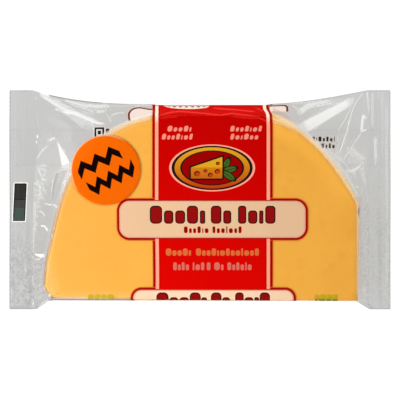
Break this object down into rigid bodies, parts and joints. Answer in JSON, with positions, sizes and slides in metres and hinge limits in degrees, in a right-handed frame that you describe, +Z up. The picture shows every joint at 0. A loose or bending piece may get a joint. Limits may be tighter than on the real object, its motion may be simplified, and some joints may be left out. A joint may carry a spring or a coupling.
{
  "type": "half-moon slab of ball cheese in a clear flow-wrap bag",
  "caption": "Half-moon slab of orange-yellow ball cheese sealed in a clear, printed flow-wrap film bag with ribbed end seals and a round paper label, lying face up.",
  "frame": {"origin": "under the middle of the bag, on the surface it lies on", "axes": "+X along the bag from one end seal to the other, +Y towards the round rim of the cheese, +Z up through the printed face"},
  "size_m": [0.1734, 0.0996, 0.0166],
  "materials": {
    "film": "clear glossy packaging film with a printed band",
    "cheese": "smooth, slightly moist semi-hard cheese",
    "label": "semi-gloss bright orange label paper"
  },
  "bodies": {
    "root": {"bag": "film", "sticker": "label"}
  },
  "joints": []
}
